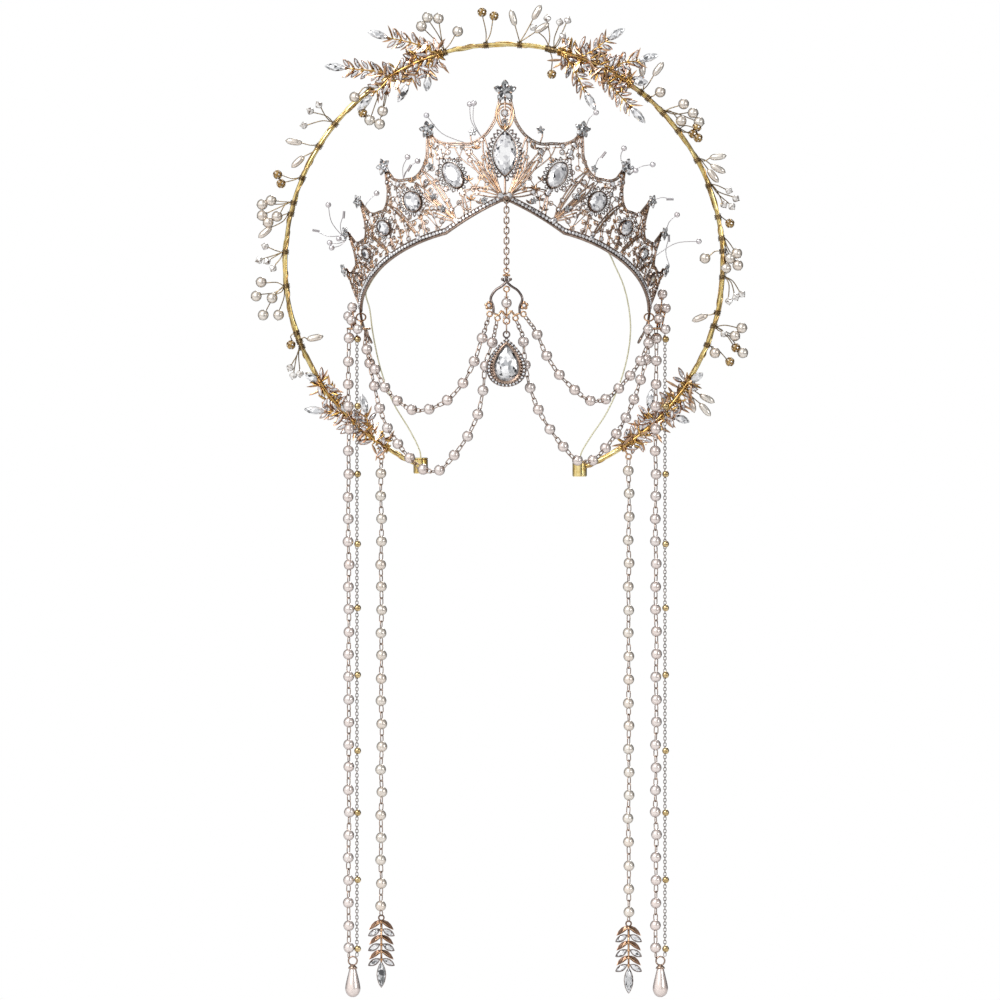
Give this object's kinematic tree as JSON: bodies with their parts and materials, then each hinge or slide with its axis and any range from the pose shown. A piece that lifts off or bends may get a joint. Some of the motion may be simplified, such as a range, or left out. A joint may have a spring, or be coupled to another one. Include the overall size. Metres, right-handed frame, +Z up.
{
  "type": "crown headband",
  "caption": "Bridal headpiece: pierced tiara band with forehead drop, pearl swags and long side strands, tied by elastic to a leaf and pearl halo ring.",
  "frame": {"origin": "centre of the tiara's rim circle, where the wearer's head sits in it, level with the rim's two side points", "axes": "+Z up as worn, +X to the viewer's right, the forehead side faces -Y"},
  "size_m": [0.279, 0.1042, 0.5477],
  "materials": {
    "rose_gold": "polished rose gold plate",
    "yellow_gold": "wound gilt wire",
    "pearl": "pearl lustre",
    "crystal": "cut and polished",
    "elastic": "round elastic cord"
  },
  "bodies": {
    "headpiece": {"tiara_frame": "rose_gold", "centre_marquise": "crystal", "oval_stone_left_1": "crystal", "oval_stone_left_2": "crystal", "oval_stone_left_3": "crystal", "oval_stone_left_4": "crystal", "oval_stone_left_5": "crystal", "oval_stone_right_1": "crystal", "oval_stone_right_2": "crystal", "oval_stone_right_3": "crystal", "oval_stone_right_4": "crystal", "oval_stone_right_5": "crystal", "tip_stones": "crystal", "forehead_chain": "rose_gold", "chandelier_frame": "rose_gold", "chandelier_pearl": "pearl", "pendant_link": "rose_gold", "swag_pearls_left_upper": "pearl", "swag_pearls_left_lower": "pearl", "swag_pearls_right_upper": "pearl", "swag_pearls_right_lower": "pearl", "swag_thread_left_upper": "rose_gold", "swag_thread_left_lower": "rose_gold", "swag_thread_right_upper": "rose_gold", "swag_thread_right_lower": "rose_gold", "end_cluster_left": "pearl", "end_cluster_right": "pearl", "outer_pearls_left": "pearl", "outer_pearls_right": "pearl", "outer_thread_left": "rose_gold", "outer_thread_right": "rose_gold", "fine_chain_left": "rose_gold", "fine_chain_right": "rose_gold", "pearl_drop_left": "pearl", "pearl_drop_right": "pearl", "halo_ring": "yellow_gold", "end_cap_left": "yellow_gold", "end_cap_right": "yellow_gold", "leaf_cluster_top_left": "rose_gold", "leaf_cluster_top_right": "rose_gold", "leaf_cluster_low_left": "rose_gold", "leaf_cluster_low_right": "rose_gold", "halo_sprays_left": "pearl", "halo_sprays_right": "pearl", "inner_pearls_left": "pearl", "inner_pearls_right": "pearl", "inner_thread_left": "rose_gold", "inner_thread_right": "rose_gold", "leaf_drop_left": "rose_gold", "leaf_drop_right": "rose_gold", "leaf_drop_stone_left": "crystal", "leaf_drop_stone_right": "crystal", "elastic_cord": "elastic"},
    "pendant": {"pendant_frame": "rose_gold", "pendant_stone": "crystal"}
  },
  "joints": [
    {"name": "pendant_swing", "type": "hinge", "parent": "headpiece", "child": "pendant", "pos_m": [0.0008, -0.0624, -0.0115], "axis": [1, 0, 0], "range_deg": [-70, 3]}
  ]
}
